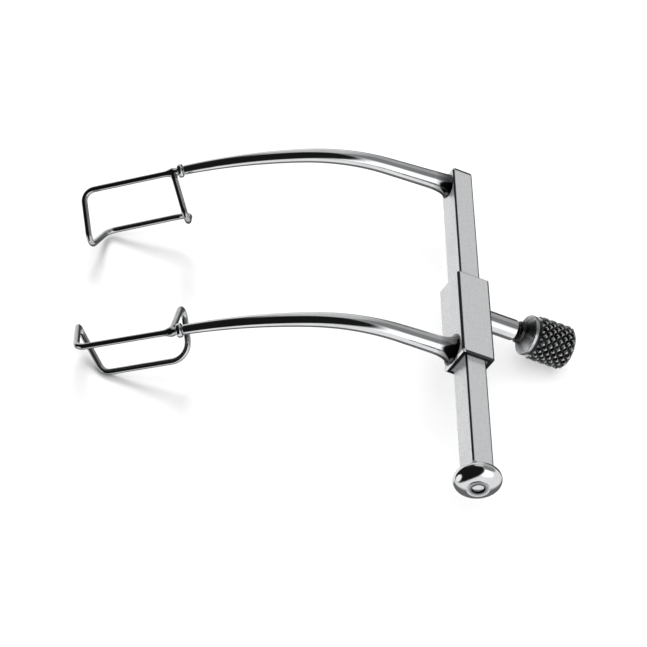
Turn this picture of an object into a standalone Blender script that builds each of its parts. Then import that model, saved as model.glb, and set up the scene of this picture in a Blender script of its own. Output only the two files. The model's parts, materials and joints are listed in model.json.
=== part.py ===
"""Self-retaining wire-blade retractor, lying on a table as it is laid down in use.

A square bar carries a fixed arm at its far end and a domed stop button at its near end. A
sliding block on the bar carries the second arm, and a knurled thumbscrew in a threaded bush
locks the block. Each arm curves down to a wire blade with two hooks that hold the tissue's edge.

The pieces are modelled in tool axes: X runs from the arms' side to the thumbscrew's side, Y
along the bar from the button to the fixed arm, Z out of the bar's upper face. The empty
tool_axes then rolls the whole tool until it rests on the knob's rim and the two blades.
"""

import math

import bmesh
import bpy
import numpy as np
from mathutils import Matrix, Vector

MM = 0.001

# Slide bar
BAR_WIDTH = 3.65 * MM
BAR_HEIGHT = 4.0 * MM
BAR_LENGTH = 63.5 * MM
BAR_BEVEL = 0.2 * MM

# Gaps between pieces that slide, and between pieces that are brazed or pressed together
SLIDE_GAP = 0.15 * MM
JOINT_GAP = 0.1 * MM

# Sliding block, by the Y of its near end
BLOCK_WIDTH = 5.8 * MM
BLOCK_HEIGHT = 6.0 * MM
BLOCK_LENGTH = 17.2 * MM
BLOCK_NEAR_Y = 21.2 * MM
BLOCK_BEVEL = 0.3 * MM

# Arms: a straight root, a tight bend and a long easy bend down to the blade. Both lean inwards.
FIXED_ARM_Y = 61.2 * MM
SLIDING_ARM_Y = 23.6 * MM
ARM_ROOT_RADIUS = 1.6 * MM
ARM_TIP_RADIUS = 0.8 * MM
ARM_ROOT_DIP = math.radians(3)
ARM_MIDDLE_DIP = math.radians(28)
ARM_TIP_DIP = math.radians(42)
FIXED_ARM_STRAIGHT = 13.0 * MM
SLIDING_ARM_STRAIGHT = 11.9 * MM
FIXED_ARM_LEAN = math.radians(2.0)
SLIDING_ARM_LEAN = math.radians(1.25)
ARM_TIGHT_BEND_RADIUS = 33.5 * MM
ARM_EASY_BEND_RADIUS = 82.0 * MM
ARM_SPIGOT_RADIUS = 0.7 * MM
ARM_SPIGOT_LENGTH = 1.0 * MM
ARM_STEPS = 9

# Flared collars at the arms' roots
COLLAR_LENGTH = 3.2 * MM
COLLAR_LIP = 0.25 * MM
FIXED_COLLAR_FOOT = (2.4 * MM, 1.85 * MM)
FIXED_COLLAR_SHIFT = -0.6 * MM
SLIDING_COLLAR_FOOT = (2.7 * MM, 2.6 * MM)
COLLAR_RINGS = 6

# Wire blades, in blade axes: along the rail away from the arm, across it, and inwards
WIRE_RADIUS = 0.5 * MM
WIRE_CORNER_RADIUS = 1.9 * MM
WIRE_EASY_CORNER_RADIUS = 3.0 * MM
HOOK_TURN_RADIUS = 1.3 * MM
RAIL_LENGTH = 17.5 * MM
TIP_HOOK_END = (18.1 * MM, 4.0 * MM, 7.8 * MM)
ROOT_HOOK_END = (1.0 * MM, 3.6 * MM, 7.5 * MM)
HOOK_MOUTH = 1.8 * MM
HOOK_LEAN = 0.8 * MM
ROOT_HOOK_LEAN_SHARE = 0.6
HOOK_ROOT_ALONG = 1.8 * MM
LOWER_RAIL_ALONG = (1.5 * MM, 16.0 * MM)
LOWER_RAIL_DROP = 8.6 * MM
LOWER_RAIL_DEPTH = 1.8 * MM
BEAD_RADIUS = 0.75 * MM
FERRULE_RADIUS = 1.15 * MM
FERRULE_LENGTH = 0.9 * MM

# Stop button and the countersunk screw that holds it on the bar's near end
BUTTON_RADIUS = 3.75 * MM
BUTTON_LENGTH = 3.0 * MM
BUTTON_NECK_RADIUS = 2.6 * MM
BUTTON_RECESS_RADIUS = 1.55 * MM
BUTTON_RECESS_DEPTH = 0.6 * MM
BUTTON_SCREW_HEAD_RADIUS = 1.4 * MM
BUTTON_SCREW_RADIUS = 0.85 * MM
BUTTON_SCREW_LENGTH = 6.0 * MM

# Thumbscrew: threaded bush on the block, shank, knob, and the shoe that presses on the bar
SCREW_Y = 32.4 * MM
BUSH_RADIUS = 1.75 * MM
BUSH_BORE_RADIUS = 1.2 * MM
BUSH_END_X = 9.0 * MM
SHANK_RADIUS = 1.0 * MM
SHANK_END_X = 14.7 * MM
SHOE_RADIUS = 1.0 * MM
SHOE_THICKNESS = 0.6 * MM
KNOB_START_X = 9.4 * MM
KNOB_END_X = 18.9 * MM
KNOB_RADIUS = 3.65 * MM
KNOB_LIP_RADIUS = 3.35 * MM
KNOB_GROOVE_RADIUS = 2.95 * MM
KNOB_HUB_RADIUS = 1.8 * MM

ROUND_SEGMENTS = 40
BORE_SEGMENTS = 24
CURVE_BEVEL_STEPS = 4

STEEL_POLISHED = ("polished_steel", (0.72, 0.73, 0.74), 0.08)
STEEL_SATIN = ("satin_steel", (0.62, 0.63, 0.64), 0.32)
STEEL_KNURLED = ("knurled_steel", (0.45, 0.45, 0.46), 0.3)
BRONZE = ("bronze", (0.52, 0.36, 0.18), 0.35)


def clear_scene():
    for obj in list(bpy.data.objects):
        bpy.data.objects.remove(obj)


def metal(name, colour, roughness):
    material = bpy.data.materials.new(name)
    material.use_nodes = True
    shader = material.node_tree.nodes["Principled BSDF"]
    shader.inputs["Base Color"].default_value = (*colour, 1)
    shader.inputs["Metallic"].default_value = 1
    shader.inputs["Roughness"].default_value = roughness
    return material


def empty(name, location=(0, 0, 0), parent=None):
    obj = bpy.data.objects.new(name, None)
    bpy.context.scene.collection.objects.link(obj)
    obj.location = location
    obj.parent = parent
    return obj


def add_object(name, data, finish, parent, location=(0, 0, 0)):
    """Links a mesh or curve as one named piece, with a material of its own."""
    data.materials.append(metal(f"{name}_{finish[0]}", *finish[1:]))
    obj = bpy.data.objects.new(name, data)
    bpy.context.scene.collection.objects.link(obj)
    obj.parent = parent
    obj.location = location
    return obj


def hide(obj):
    obj.hide_render = True
    obj.display_type = "WIRE"


def boolean(obj, other, operation):
    modifier = obj.modifiers.new(f"{operation.lower()}_{other.name}", "BOOLEAN")
    modifier.object = other
    modifier.operation = operation
    hide(other)


def mesh_of(name, bm):
    """A mesh from bm, smooth except across its sharp edges."""
    bmesh.ops.recalc_face_normals(bm, faces=bm.faces)
    mesh = bpy.data.meshes.new(name)
    bm.to_mesh(mesh)
    bm.free()
    mesh.shade_smooth()
    mesh.set_sharp_from_angle(angle=math.radians(35))
    return mesh


def box(name, size, bevel=0.0):
    """A box centred on its origin."""
    bm = bmesh.new()
    bmesh.ops.create_cube(bm, size=1, matrix=Matrix.Diagonal((*size, 1)))
    if bevel:
        bmesh.ops.bevel(bm, geom=bm.edges[:], offset=bevel, segments=2, profile=0.5, affect="EDGES")
    return mesh_of(name, bm)


def turned(name, profile, axis, segments=ROUND_SEGMENTS):
    """Spins (along, radius) pairs about axis. A profile that stays off the axis makes a ring."""
    bm = bmesh.new()
    corners = [bm.verts.new((radius, 0, along)) for along, radius in profile]
    pairs = list(zip(corners, corners[1:]))
    if profile[0][1] > 0:
        pairs.append((corners[-1], corners[0]))
    edges = [bm.edges.new(pair) for pair in pairs]
    bmesh.ops.spin(
        bm, geom=corners + edges, axis=(0, 0, 1), cent=(0, 0, 0), angle=math.tau, steps=segments
    )
    bmesh.ops.remove_doubles(bm, verts=bm.verts, dist=0.001 * MM)
    turn = Vector((0, 0, 1)).rotation_difference(Vector(axis)).to_matrix()
    bmesh.ops.rotate(bm, verts=bm.verts, matrix=turn)
    return mesh_of(name, bm)


def bore(name, start, end, radius, parent, location, axis):
    """A hidden cutter: a cylinder about axis from start to end."""
    profile = [(start, 0), (start, radius), (end, radius), (end, 0)]
    mesh = turned(name, profile, axis, BORE_SEGMENTS)
    obj = bpy.data.objects.new(name, mesh)
    bpy.context.scene.collection.objects.link(obj)
    obj.parent = parent
    obj.location = location
    return obj


def wire(name, points, radii):
    """A round rod along points, whose radius changes from point to point."""
    curve = bpy.data.curves.new(name, "CURVE")
    curve.dimensions = "3D"
    curve.bevel_depth = radii[0]
    curve.bevel_resolution = CURVE_BEVEL_STEPS
    curve.use_fill_caps = True
    curve.twist_mode = "MINIMUM"
    spline = curve.splines.new("POLY")
    spline.points.add(len(points) - 1)
    for knot, point, radius in zip(spline.points, points, radii):
        knot.co = (*point, 1)
        knot.radius = radius / radii[0]
    spline.use_smooth = True
    return curve


def baked(name, data, finish, parent, location=(0, 0, 0)):
    """Turns a curve into a mesh piece, so that a Boolean can cut or join it."""
    draft = bpy.data.objects.new(f"{name}_draft", data)
    mesh = bpy.data.meshes.new_from_object(draft)
    bpy.data.objects.remove(draft)
    mesh.name = name
    bm = bmesh.new()
    bm.from_mesh(mesh)
    bmesh.ops.remove_doubles(bm, verts=bm.verts, dist=0.001 * MM)
    return add_object(name, mesh_of(name, bm), finish, parent, location)


def heading(dip):
    """The direction away from the bar at this angle below it, in the arm's plane."""
    return Vector((-math.cos(dip), 0, -math.sin(dip)))


def across(dip):
    """The direction at right angles to heading, on the side of the bend's hollow."""
    return Vector((math.sin(dip), 0, -math.cos(dip)))


def bend(start, dip_from, dip_to, radius):
    """Points after start along an arc that turns from one dip to the other."""
    centre = start + radius * across(dip_from)
    dips = np.linspace(dip_from, dip_to, ARM_STEPS + 1)[1:]
    return [centre - radius * across(dip) for dip in dips]


def arm_route(straight):
    """The arm's centreline in its own plane, from the bar's axis to its tip."""
    points = [heading(ARM_ROOT_DIP) * (straight / math.cos(ARM_ROOT_DIP))]
    points += bend(points[-1], ARM_ROOT_DIP, ARM_MIDDLE_DIP, ARM_TIGHT_BEND_RADIUS)
    points += bend(points[-1], ARM_MIDDLE_DIP, ARM_TIP_DIP, ARM_EASY_BEND_RADIUS)
    return points


def add_arm(name, face_x, straight, finish, parent):
    """A tapered arm that stands on the face at face_x, with a spigot into it."""
    root = heading(ARM_ROOT_DIP)
    reach = (JOINT_GAP - face_x) / math.cos(ARM_ROOT_DIP)
    spigot = [root * (reach - ARM_SPIGOT_LENGTH), root * (reach - 0.02 * MM)]
    route = [root * reach] + arm_route(straight)
    steps = [(b - a).length for a, b in zip(route, route[1:])]
    travelled = np.concatenate([[0], np.cumsum(steps)]) / sum(steps)
    radii = [ARM_ROOT_RADIUS + (ARM_TIP_RADIUS - ARM_ROOT_RADIUS) * share for share in travelled]
    data = wire(name, spigot + route, [ARM_SPIGOT_RADIUS] * 2 + radii)
    return baked(name, data, finish, parent)


def add_collar(name, face_x, foot, shift, finish, parent):
    """A collar that flares from the arm to an oval foot on the face at face_x, off centre by shift."""
    bore_radius = ARM_ROOT_RADIUS + JOINT_GAP
    top_radius = bore_radius + COLLAR_LIP
    rings = []
    for step in range(COLLAR_RINGS + 1):
        share = step / COLLAR_RINGS
        flare = 1 - math.sin(share * math.pi / 2)
        x = face_x - JOINT_GAP - COLLAR_LENGTH * (1 - math.cos(share * math.pi / 2))
        reaches = [top_radius + (reach - top_radius) * flare for reach in foot]
        rings.append((x, *reaches, shift * flare))
    end_x = rings[-1][0]
    rings.append((end_x, bore_radius, bore_radius, 0))
    rings.append((face_x - JOINT_GAP, bore_radius, bore_radius, 0))
    bm = bmesh.new()
    angles = [math.tau * k / ROUND_SEGMENTS for k in range(ROUND_SEGMENTS)]
    loops = []
    for x, reach_y, reach_z, off in rings:
        dip = x * math.tan(ARM_ROOT_DIP)
        ring = [(x, reach_y * math.cos(a) + off, reach_z * math.sin(a) + dip) for a in angles]
        loops.append([bm.verts.new(corner) for corner in ring])
    for first, second in zip(loops, loops[1:] + loops[:1]):
        for k in range(ROUND_SEGMENTS):
            after = (k + 1) % ROUND_SEGMENTS
            bm.faces.new((first[k], first[after], second[after], second[k]))
    return add_object(name, mesh_of(name, bm), finish, parent)


def rounded_path(corners, radii, steps=5):
    """The line through corners, with each inner corner turned on its own radius."""
    path = [corners[0]]
    for before, corner, after, radius in zip(corners, corners[1:], corners[2:], radii):
        to_before = (before - corner).normalized()
        to_after = (after - corner).normalized()
        half = to_before.angle(to_after) / 2
        middle = (to_before + to_after).normalized()
        centre = corner + middle * (radius / math.sin(half))
        start = corner + to_before * (radius / math.tan(half)) - centre
        end = corner + to_after * (radius / math.tan(half)) - centre
        for step in range(steps + 1):
            path.append(centre + radius * start.slerp(end, step / steps))
    path.append(corners[-1])
    return path


def blade_corners(lean):
    """The wire's corners in blade axes. lean moves both hooks' ends along the rail."""
    tip_along, tip_drop, tip_depth = TIP_HOOK_END
    root_along, root_drop, root_depth = ROOT_HOOK_END
    half = HOOK_MOUTH / 2
    lower_start, lower_end = LOWER_RAIL_ALONG
    corners = [
        (JOINT_GAP, 0, 0),
        (RAIL_LENGTH, 0, 0),
        (tip_along + lean, tip_drop - half, tip_depth),
        (tip_along + lean, tip_drop + half, tip_depth),
        (lower_end, LOWER_RAIL_DROP, LOWER_RAIL_DEPTH),
        (lower_start, LOWER_RAIL_DROP, LOWER_RAIL_DEPTH),
        (root_along + lean * ROOT_HOOK_LEAN_SHARE, root_drop + half, root_depth),
        (root_along + lean * ROOT_HOOK_LEAN_SHARE, root_drop - half, root_depth),
    ]
    corners = [Vector(corner) for corner in corners]
    rail = Vector((HOOK_ROOT_ALONG, 0, 0))
    strand = (rail - corners[-1]).normalized()
    return corners + [rail - strand * (WIRE_RADIUS + JOINT_GAP)]


def blade_axes(inward):
    """The columns that take blade axes to tool axes. inward is +1 or -1, the side of the hooks."""
    columns = (heading(ARM_TIP_DIP), across(ARM_TIP_DIP), Vector((0, inward, 0)))
    return Matrix(columns).transposed()


def add_blade(name, inward, lean, finish, parent, tip):
    """A blade bent from one wire, its end brazed back onto the rail with a bead."""
    axes = blade_axes(inward)
    corners = blade_corners(lean)
    turns = [WIRE_CORNER_RADIUS, HOOK_TURN_RADIUS, HOOK_TURN_RADIUS, WIRE_CORNER_RADIUS]
    turns = turns + [WIRE_EASY_CORNER_RADIUS, HOOK_TURN_RADIUS, HOOK_TURN_RADIUS]
    points = [axes @ point for point in rounded_path(corners, turns)]
    data = wire(name, points, [WIRE_RADIUS] * len(points))
    blade = baked(name, data, finish, parent, tip)
    bm = bmesh.new()
    bmesh.ops.create_icosphere(bm, subdivisions=2, radius=BEAD_RADIUS)
    bead = bpy.data.objects.new(f"{name}_bead", mesh_of(f"{name}_bead", bm))
    bpy.context.scene.collection.objects.link(bead)
    bead.parent = parent
    bead.location = tip + axes @ Vector((HOOK_ROOT_ALONG, 0, 0.3 * MM))
    boolean(blade, bead, "UNION")
    return blade


def add_ferrule(name, finish, parent, tip):
    """The collar on the wire's root, which the arm's tip meets."""
    bore_radius = WIRE_RADIUS + JOINT_GAP
    round_off = 0.3 * MM
    start, end = JOINT_GAP, JOINT_GAP + FERRULE_LENGTH
    profile = [
        (start, bore_radius),
        (start, FERRULE_RADIUS - round_off),
        (start + round_off, FERRULE_RADIUS),
        (end - round_off, FERRULE_RADIUS),
        (end, FERRULE_RADIUS - round_off),
        (end, bore_radius),
    ]
    mesh = turned(name, profile, heading(ARM_TIP_DIP), BORE_SEGMENTS)
    return add_object(name, mesh, finish, parent, tip)


def add_arm_and_blade(side, face_x, straight, collar, inward, lean, parent, arm_y):
    """One arm with its collar, ferrule and blade, leaning to the other arm's side."""
    axis = empty(f"{side}_arm_axis", (0, arm_y, 0), parent)
    axis.rotation_euler = (0, 0, -inward * lean)
    tip = arm_route(straight)[-1]
    add_arm(f"{side}_arm", face_x, straight, STEEL_POLISHED, axis)
    add_collar(f"{side}_arm_collar", face_x, *collar, STEEL_POLISHED, axis)
    add_ferrule(f"{side}_blade_ferrule", STEEL_POLISHED, axis, tip)
    add_blade(f"{side}_blade", inward, inward * HOOK_LEAN, STEEL_POLISHED, axis, tip)


def add_bar(parent):
    location = Vector((0, BAR_LENGTH / 2, 0))
    mesh = box("slide_bar", (BAR_WIDTH, BAR_LENGTH, BAR_HEIGHT), BAR_BEVEL)
    bar = add_object("slide_bar", mesh, STEEL_SATIN, parent, location)
    depth = BUTTON_SCREW_LENGTH - BUTTON_LENGTH + MM
    radius = BUTTON_SCREW_RADIUS + SLIDE_GAP
    hole = bore("button_screw_hole", -MM, depth, radius, parent, (0, 0, 0), (0, 1, 0))
    boolean(bar, hole, "DIFFERENCE")
    face = BAR_WIDTH / 2
    radius = ARM_SPIGOT_RADIUS + JOINT_GAP
    place = (0, FIXED_ARM_Y, 0)
    hole = bore("fixed_arm_hole", face - 1.3 * MM, face + MM, radius, parent, place, heading(ARM_ROOT_DIP))
    boolean(bar, hole, "DIFFERENCE")
    return bar


def add_button(parent):
    """The turned stop: a neck against the bar, a full round rim and a dome with a recess."""
    rim_y = 0.42 * BUTTON_LENGTH
    bore_radius = BUTTON_SCREW_RADIUS + JOINT_GAP
    profile = [(0, bore_radius), (0, BUTTON_NECK_RADIUS)]
    for step in range(1, 5):
        turn = step / 4 * math.pi / 2
        reach = BUTTON_NECK_RADIUS + (BUTTON_RADIUS - BUTTON_NECK_RADIUS) * math.sin(turn)
        profile.append((rim_y * (1 - math.cos(turn)), reach))
    for step in range(1, 6):
        turn = step / 6 * math.pi / 2
        along = rim_y + (BUTTON_LENGTH - rim_y) * math.sin(turn)
        profile.append((along, BUTTON_RADIUS * math.cos(turn) ** 0.8))
    profile.append((BUTTON_LENGTH, BUTTON_RECESS_RADIUS + 0.25 * MM))
    profile.append((BUTTON_LENGTH, BUTTON_RECESS_RADIUS))
    profile.append((BUTTON_LENGTH - BUTTON_RECESS_DEPTH, BUTTON_RECESS_RADIUS))
    profile.append((BUTTON_LENGTH - BUTTON_RECESS_DEPTH, bore_radius))
    mesh = turned("end_button", profile, (0, -1, 0))
    add_object("end_button", mesh, STEEL_POLISHED, parent, (0, -JOINT_GAP, 0))

    seat = BUTTON_LENGTH - BUTTON_RECESS_DEPTH + JOINT_GAP
    top = BUTTON_LENGTH - 0.05 * MM
    profile = [
        (seat - BUTTON_SCREW_LENGTH, 0),
        (seat - BUTTON_SCREW_LENGTH, BUTTON_SCREW_RADIUS),
        (seat, BUTTON_SCREW_RADIUS),
        (seat, BUTTON_SCREW_HEAD_RADIUS),
        (top - 0.15 * MM, BUTTON_SCREW_HEAD_RADIUS),
        (top, BUTTON_SCREW_HEAD_RADIUS - 0.3 * MM),
        (top, 0),
    ]
    mesh = turned("end_button_screw", profile, (0, -1, 0), BORE_SEGMENTS)
    add_object("end_button_screw", mesh, STEEL_POLISHED, parent, (0, -JOINT_GAP, 0))


def add_block(parent):
    """The sleeve that slides on the bar. parent sits on the bar's axis at the block's middle."""
    size = (BLOCK_WIDTH, BLOCK_LENGTH, BLOCK_HEIGHT)
    block = add_object("sliding_block", box("sliding_block", size, BLOCK_BEVEL), STEEL_SATIN, parent)
    through = (BAR_WIDTH + 2 * SLIDE_GAP, BLOCK_LENGTH + 2 * MM, BAR_HEIGHT + 2 * SLIDE_GAP)
    channel = bpy.data.objects.new("bar_channel", box("bar_channel", through))
    bpy.context.scene.collection.objects.link(channel)
    channel.parent = parent
    boolean(block, channel, "DIFFERENCE")
    middle = BLOCK_NEAR_Y + BLOCK_LENGTH / 2
    inside, outside = BAR_WIDTH / 2, BLOCK_WIDTH / 2 + MM
    place = (0, SCREW_Y - middle, 0)
    hole = bore("screw_hole", inside, outside, BUSH_BORE_RADIUS, parent, place, (1, 0, 0))
    boolean(block, hole, "DIFFERENCE")
    place = (0, SLIDING_ARM_Y - middle, 0)
    radius = ARM_SPIGOT_RADIUS + JOINT_GAP
    hole = bore("sliding_arm_hole", inside, outside, radius, parent, place, heading(ARM_ROOT_DIP))
    boolean(block, hole, "DIFFERENCE")
    return block


def add_bush(parent):
    """The threaded bush that stands on the block's side."""
    start = BLOCK_WIDTH / 2 + JOINT_GAP
    chamfer = 0.25 * MM
    profile = [
        (start, BUSH_BORE_RADIUS),
        (start, BUSH_RADIUS + chamfer),
        (start + chamfer, BUSH_RADIUS),
        (BUSH_END_X - chamfer, BUSH_RADIUS),
        (BUSH_END_X, BUSH_RADIUS - chamfer + 0.05 * MM),
        (BUSH_END_X, BUSH_BORE_RADIUS),
    ]
    mesh = turned("screw_bush", profile, (1, 0, 0), BORE_SEGMENTS)
    add_object("screw_bush", mesh, STEEL_POLISHED, parent)


def add_thumbscrew(parent):
    """Shoe, shank and knob, all on parent's X axis."""
    shoe_x = BAR_WIDTH / 2 + JOINT_GAP
    tip_x = shoe_x + SHOE_THICKNESS + JOINT_GAP
    profile = [(shoe_x, 0), (shoe_x, SHOE_RADIUS), (tip_x - JOINT_GAP, SHOE_RADIUS), (tip_x - JOINT_GAP, 0)]
    mesh = turned("clamp_shoe", profile, (1, 0, 0), BORE_SEGMENTS)
    add_object("clamp_shoe", mesh, BRONZE, parent)

    profile = [(tip_x, 0), (tip_x, 0.7 * SHANK_RADIUS), (tip_x + 0.3 * MM, SHANK_RADIUS)]
    profile += [(SHANK_END_X, SHANK_RADIUS), (SHANK_END_X, 0)]
    mesh = turned("thumbscrew_shank", profile, (1, 0, 0), BORE_SEGMENTS)
    add_object("thumbscrew_shank", mesh, STEEL_POLISHED, parent)

    bore_radius = SHANK_RADIUS + JOINT_GAP
    bore_end = SHANK_END_X + JOINT_GAP
    profile = [
        (bore_end, 0),
        (bore_end, bore_radius),
        (KNOB_START_X, bore_radius),
        (KNOB_START_X, KNOB_HUB_RADIUS - 0.2 * MM),
        (KNOB_START_X + 0.2 * MM, KNOB_HUB_RADIUS),
        (KNOB_START_X + 0.8 * MM, KNOB_HUB_RADIUS),
        (KNOB_START_X + 1.8 * MM, KNOB_LIP_RADIUS),
        (KNOB_START_X + 2.4 * MM, KNOB_LIP_RADIUS),
        (KNOB_START_X + 2.5 * MM, KNOB_GROOVE_RADIUS),
        (KNOB_START_X + 2.9 * MM, KNOB_GROOVE_RADIUS),
        (KNOB_START_X + 3.0 * MM, KNOB_RADIUS),
        (KNOB_END_X - 0.55 * MM, KNOB_RADIUS),
        (KNOB_END_X - 0.15 * MM, KNOB_RADIUS - 0.55 * MM),
        (KNOB_END_X, KNOB_RADIUS - 1.3 * MM),
        (KNOB_END_X, 0),
    ]
    mesh = turned("thumbscrew_knob", profile, (1, 0, 0))
    add_object("thumbscrew_knob", mesh, STEEL_KNURLED, parent)


def world_points(names):
    """The evaluated vertices of the named objects, in world axes, one row each."""
    bpy.context.view_layer.update()
    graph = bpy.context.evaluated_depsgraph_get()
    rows = []
    for name in names:
        evaluated = bpy.data.objects[name].evaluated_get(graph)
        mesh = evaluated.to_mesh()
        flat = np.empty(len(mesh.vertices) * 3, np.float32)
        mesh.vertices.foreach_get("co", flat)
        matrix = np.array(evaluated.matrix_world)
        rows.append(flat.reshape(-1, 3) @ matrix[:3, :3].T + matrix[:3, 3])
        evaluated.to_mesh_clear()
    return np.concatenate(rows)


def resting_roll():
    """The roll about Y at which the knob's rim and the blades are equally low."""
    knob = world_points(["thumbscrew_knob"])
    blades = world_points(["fixed_blade", "sliding_blade"])

    def lowest(points, roll):
        return (points[:, 2] * math.cos(roll) - points[:, 0] * math.sin(roll)).min()

    low, high = 0.0, math.radians(60)
    for _ in range(40):
        middle = (low + high) / 2
        if lowest(knob, middle) > lowest(blades, middle):
            low = middle
        else:
            high = middle
    return (low + high) / 2


def lay_down(tool):
    """Rolls the tool onto its three resting points, and centres its box on the origin."""
    tool.rotation_euler = (0, resting_roll(), 0)
    pieces = [obj.name for obj in bpy.data.objects if obj.type == "MESH" and not obj.hide_render]
    points = world_points(pieces)
    low, high = points.min(axis=0), points.max(axis=0)
    tool.location = (-(low[0] + high[0]) / 2, -(low[1] + high[1]) / 2, -low[2])


def main():
    clear_scene()
    tool = empty("tool_axes")
    carriage_y = BLOCK_NEAR_Y + BLOCK_LENGTH / 2
    carriage = empty("carriage_axis", (0, carriage_y, 0), tool)
    screw = empty("screw_axis", (0, SCREW_Y - carriage_y, 0), carriage)

    add_bar(tool)
    add_button(tool)
    collar = (FIXED_COLLAR_FOOT, FIXED_COLLAR_SHIFT)
    face, straight, lean = -BAR_WIDTH / 2, FIXED_ARM_STRAIGHT, FIXED_ARM_LEAN
    add_arm_and_blade("fixed", face, straight, collar, -1, lean, tool, FIXED_ARM_Y)

    add_block(carriage)
    collar = (SLIDING_COLLAR_FOOT, 0)
    arm_y = SLIDING_ARM_Y - carriage_y
    face, straight, lean = -BLOCK_WIDTH / 2, SLIDING_ARM_STRAIGHT, SLIDING_ARM_LEAN
    add_arm_and_blade("sliding", face, straight, collar, 1, lean, carriage, arm_y)
    add_bush(screw)
    add_thumbscrew(screw)
    lay_down(tool)


main()
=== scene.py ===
"""Looks of the wire-blade retractor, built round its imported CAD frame.

Every piece is modelled in tool axes, in metres: X runs from the arms' side to the thumbscrew's
side, Y along the bar from the stop button to the fixed arm, Z out of the bar's upper face. The
matrix TOOL takes tool axes to the frame that the CAD lies in.
"""

import json
import math

import bmesh
import bpy
import numpy as np
from mathutils import Matrix, Vector

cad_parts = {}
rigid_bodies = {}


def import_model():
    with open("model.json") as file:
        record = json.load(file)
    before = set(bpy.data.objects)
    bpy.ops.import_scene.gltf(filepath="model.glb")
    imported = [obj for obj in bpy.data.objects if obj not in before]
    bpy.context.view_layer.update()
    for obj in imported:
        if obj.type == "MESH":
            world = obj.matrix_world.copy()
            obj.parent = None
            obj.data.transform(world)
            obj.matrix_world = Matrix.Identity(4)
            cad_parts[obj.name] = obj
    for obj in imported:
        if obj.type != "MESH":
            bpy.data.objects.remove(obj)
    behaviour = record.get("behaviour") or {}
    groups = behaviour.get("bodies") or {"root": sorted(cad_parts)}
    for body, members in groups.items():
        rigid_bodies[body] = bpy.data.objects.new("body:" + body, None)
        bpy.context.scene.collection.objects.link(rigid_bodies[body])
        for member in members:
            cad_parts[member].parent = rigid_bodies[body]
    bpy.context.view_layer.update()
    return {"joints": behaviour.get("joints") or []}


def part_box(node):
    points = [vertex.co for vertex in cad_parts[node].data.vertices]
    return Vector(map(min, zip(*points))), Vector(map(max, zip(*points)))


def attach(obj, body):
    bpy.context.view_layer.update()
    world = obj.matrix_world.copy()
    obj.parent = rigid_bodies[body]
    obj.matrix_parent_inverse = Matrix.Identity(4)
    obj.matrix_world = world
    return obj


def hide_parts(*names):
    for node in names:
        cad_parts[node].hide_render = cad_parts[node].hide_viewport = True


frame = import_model()

MM = 0.001

# Sizes that the CAD part has, in metres
BAR_LENGTH = 63.5 * MM
BAR_WIDTH = 3.65 * MM
BAR_HEIGHT = 4.0 * MM
BAR_BEVEL = 0.2 * MM
SLIDE_GAP = 0.15 * MM
JOINT_GAP = 0.1 * MM
BLOCK_WIDTH = 5.8 * MM
BLOCK_HEIGHT = 6.0 * MM
BLOCK_LENGTH = 17.2 * MM
BLOCK_NEAR_Y = 21.2 * MM
BLOCK_BEVEL = 0.3 * MM
FIXED_ARM_Y = 61.2 * MM
SLIDING_ARM_Y = 23.6 * MM
ARM_ROOT_RADIUS = 1.6 * MM
ARM_TIP_RADIUS = 0.8 * MM
ARM_ROOT_DIP = math.radians(3)
ARM_MIDDLE_DIP = math.radians(28)
ARM_TIP_DIP = math.radians(42)
FIXED_ARM_STRAIGHT = 13.0 * MM
SLIDING_ARM_STRAIGHT = 11.9 * MM
FIXED_ARM_LEAN = math.radians(2.0)
SLIDING_ARM_LEAN = math.radians(1.25)
ARM_TIGHT_BEND_RADIUS = 33.5 * MM
ARM_EASY_BEND_RADIUS = 82.0 * MM
COLLAR_LENGTH = 3.2 * MM
FIXED_COLLAR_FOOT = (2.4 * MM, 1.85 * MM)
FIXED_COLLAR_SHIFT = -0.6 * MM
SLIDING_COLLAR_FOOT = (2.7 * MM, 2.6 * MM)
WIRE_RADIUS = 0.5 * MM
WIRE_CORNER_RADIUS = 1.9 * MM
WIRE_EASY_CORNER_RADIUS = 3.0 * MM
HOOK_TURN_RADIUS = 1.3 * MM
RAIL_LENGTH = 17.5 * MM
TIP_HOOK_END = (18.1 * MM, 4.0 * MM, 7.8 * MM)
ROOT_HOOK_END = (1.0 * MM, 3.6 * MM, 7.5 * MM)
HOOK_MOUTH = 1.8 * MM
HOOK_LEAN = 0.8 * MM
ROOT_HOOK_LEAN_SHARE = 0.6
HOOK_ROOT_ALONG = 1.8 * MM
LOWER_RAIL_ALONG = (1.5 * MM, 16.0 * MM)
LOWER_RAIL_DROP = 8.6 * MM
LOWER_RAIL_DEPTH = 1.8 * MM
FERRULE_RADIUS = 1.15 * MM
FERRULE_LENGTH = 0.9 * MM
BUTTON_RADIUS = 3.75 * MM
BUTTON_LENGTH = 3.0 * MM
BUTTON_NECK_RADIUS = 2.6 * MM
BUTTON_RECESS_RADIUS = 1.55 * MM
BUTTON_RECESS_DEPTH = 0.6 * MM
BUTTON_SCREW_HEAD_RADIUS = 1.4 * MM
BUTTON_SCREW_RADIUS = 0.85 * MM
BUTTON_SCREW_LENGTH = 6.0 * MM
SCREW_Y = 32.4 * MM
BUSH_RADIUS = 1.75 * MM
BUSH_BORE_RADIUS = 1.2 * MM
BUSH_END_X = 9.0 * MM
SHANK_RADIUS = 1.0 * MM
SHANK_END_X = 14.7 * MM
SHOE_RADIUS = 1.0 * MM
SHOE_THICKNESS = 0.6 * MM
KNOB_START_X = 9.4 * MM
KNOB_END_X = 18.9 * MM
KNOB_RADIUS = 3.65 * MM
KNOB_LIP_RADIUS = 3.35 * MM
KNOB_GROOVE_RADIUS = 2.95 * MM
KNOB_HUB_RADIUS = 1.8 * MM

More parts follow.
